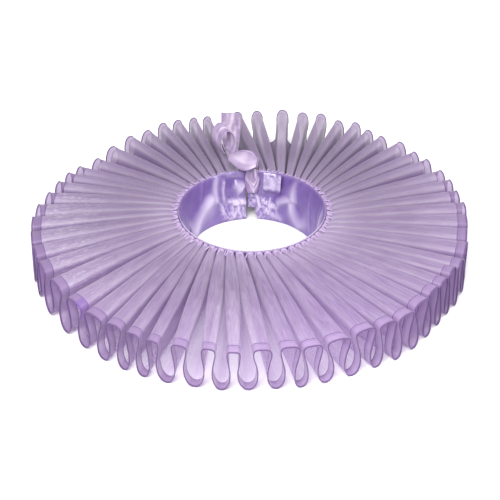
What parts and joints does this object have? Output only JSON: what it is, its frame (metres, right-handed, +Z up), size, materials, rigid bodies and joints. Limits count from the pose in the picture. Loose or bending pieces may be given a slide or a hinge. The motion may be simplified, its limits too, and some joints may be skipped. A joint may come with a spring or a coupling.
{
  "type": "ruff collar",
  "caption": "Sheer ruff collar: a figure-of-eight pleated organza ruffle with a satin edge, sewn to a satin neck band tied at the back with a ribbon bow.",
  "frame": {"origin": "on the surface that the collar lies on, at the middle of its outline", "axes": "+Z up through the neck hole, +Y towards the opening and its bow, +X to the right seen from the front"},
  "size_m": [0.3895, 0.3888, 0.0751],
  "materials": {
    "organza": "sheer lilac organza, fine plain weave with a soft crisp shine",
    "edge_ribbon": "narrow lilac satin ribbon, denser than the organza",
    "band_satin": "lilac satin with sharp bright highlights along its creases",
    "tie_ribbon": "pinkish lilac satin ribbon, smooth sheen"
  },
  "bodies": {
    "root": {"ruffle": "organza", "satin_edge": "edge_ribbon", "neck_band": "band_satin", "band_flap": "band_satin", "tie_knot": "tie_ribbon", "bow_loop": "tie_ribbon", "bow_ring": "tie_ribbon", "tie_tail": "tie_ribbon"}
  },
  "joints": []
}
